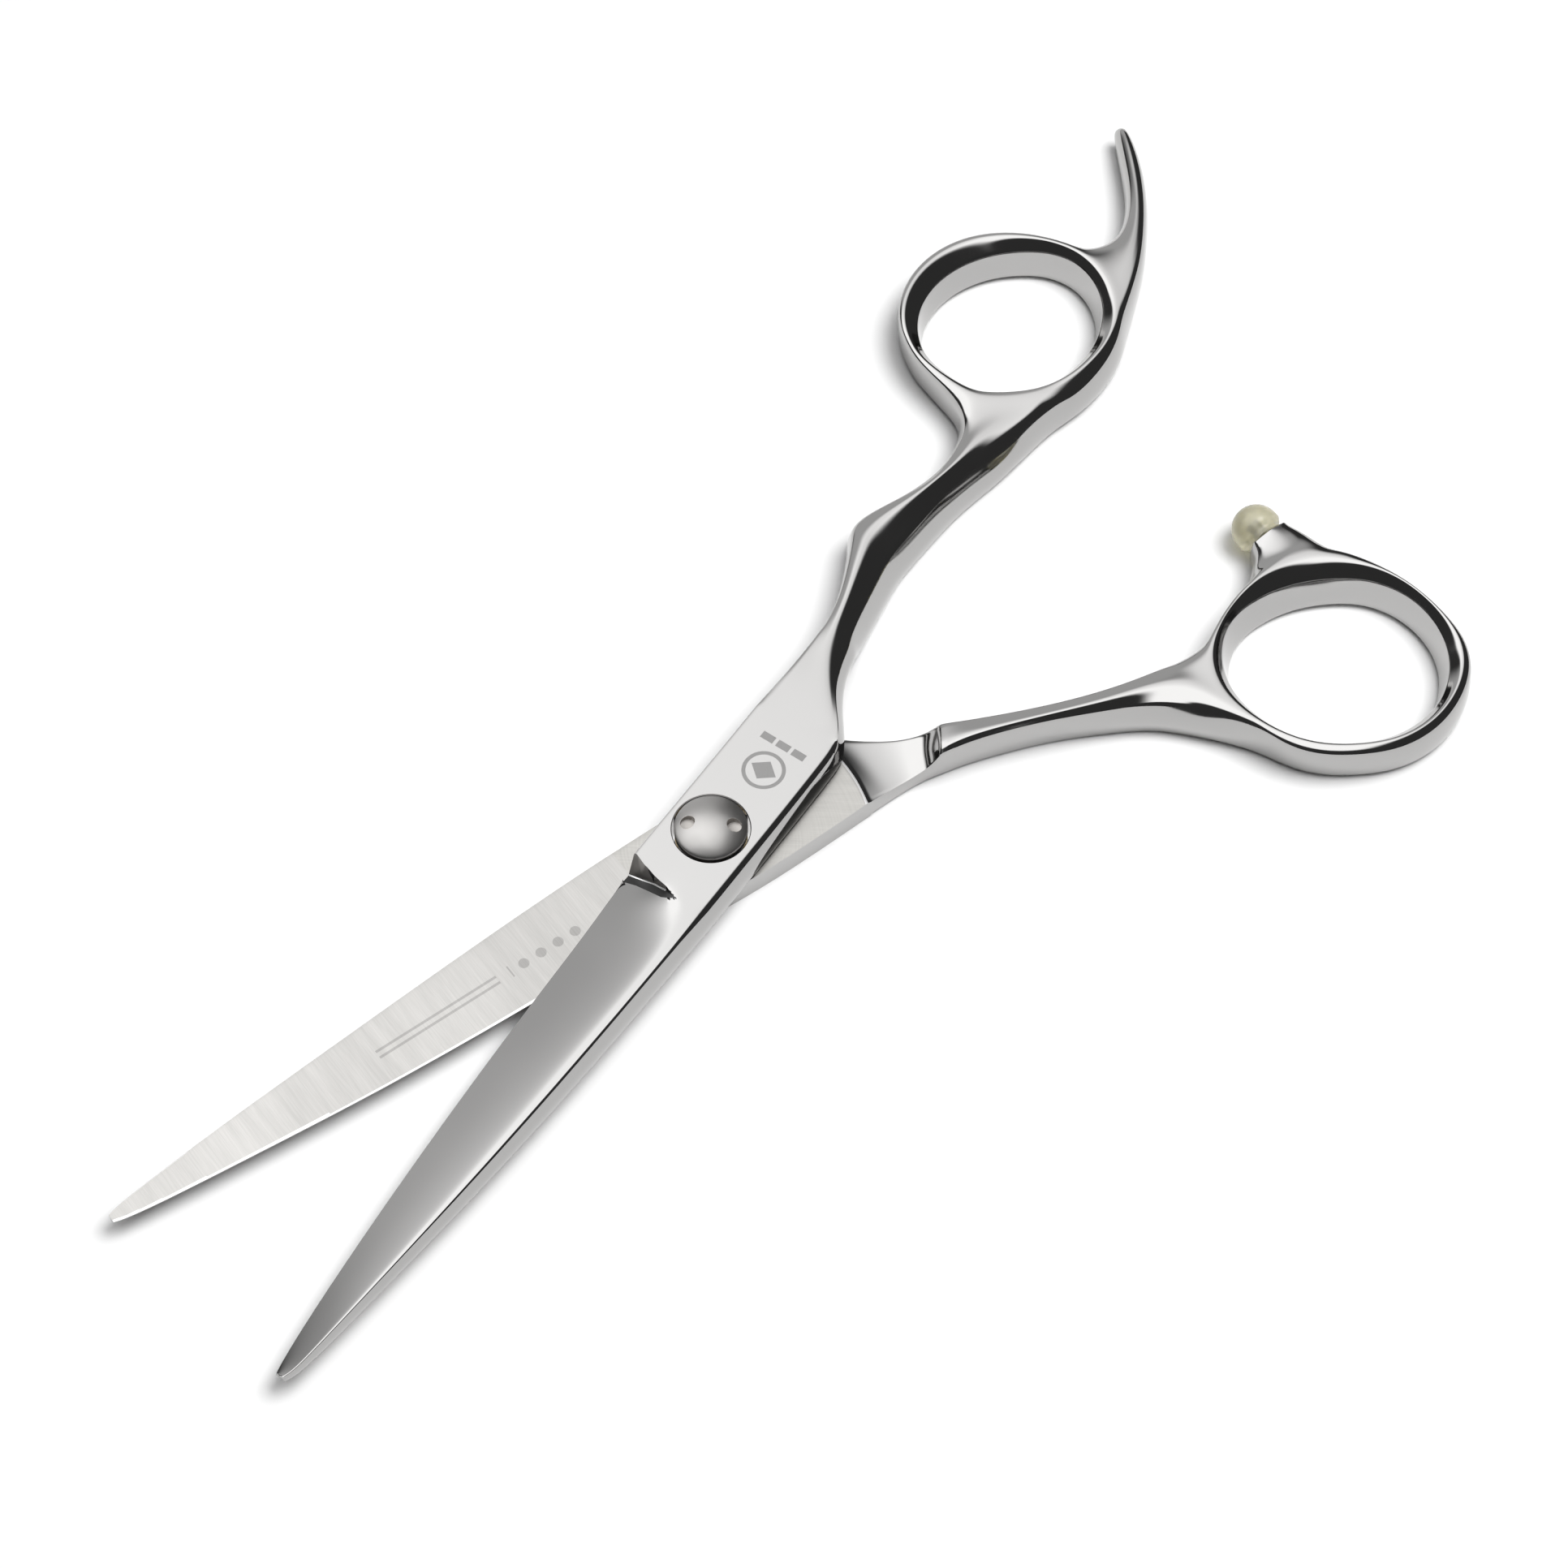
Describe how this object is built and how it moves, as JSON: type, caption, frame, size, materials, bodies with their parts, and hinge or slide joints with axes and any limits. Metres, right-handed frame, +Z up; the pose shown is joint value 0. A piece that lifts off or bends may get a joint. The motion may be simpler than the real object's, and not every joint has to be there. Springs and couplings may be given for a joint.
{
  "type": "hair cutting shears",
  "caption": "Hair cutting shears with offset finger rings, a curved finger rest, a domed tension nut at the pivot and a soft bumper.",
  "frame": {"origin": "on the pivot axis, at the flush underside of the pivot bolt's head, which is the plane that the shears lie on", "axes": "+X from the pivot to the tip of the finger blade, +Y to the side of the thumb ring, +Z up along the pivot axis to the tension nut"},
  "size_m": [0.1847, 0.0826, 0.0076],
  "materials": {
    "forged_steel": "mirror polished outside, cross-brushed on the inner faces of the blades",
    "pivot_steel": "turned",
    "bush_brass": "turned",
    "washer_plastic": "slippery white plastic",
    "spring_steel": "blued spring steel",
    "nut_steel": "satin, turned",
    "bumper_rubber": "translucent soft plastic",
    "stud_steel": "dark"
  },
  "bodies": {
    "finger_lever": {"finger_blade": "forged_steel", "pivot_bush": "bush_brass", "thrust_washer": "pivot_steel"},
    "thumb_lever": {"thumb_blade": "forged_steel", "pivot_bolt": "pivot_steel", "glide_washer": "washer_plastic", "disc_spring": "spring_steel", "bumper": "bumper_rubber", "bumper_stud": "stud_steel"},
    "adjuster": {"tension_nut": "nut_steel"}
  },
  "joints": [
    {"name": "blade_pivot", "type": "hinge", "parent": "finger_lever", "child": "thumb_lever", "pos_m": [0, 0, 0.003], "axis": [0, 0, -1], "range_deg": [-18.1, 70]},
    {"name": "tension_turn", "type": "hinge", "parent": "thumb_lever", "child": "adjuster", "pos_m": [0, 0, 0.006], "axis": [0, 0, 1], "range_deg": [-90, 90]}
  ]
}
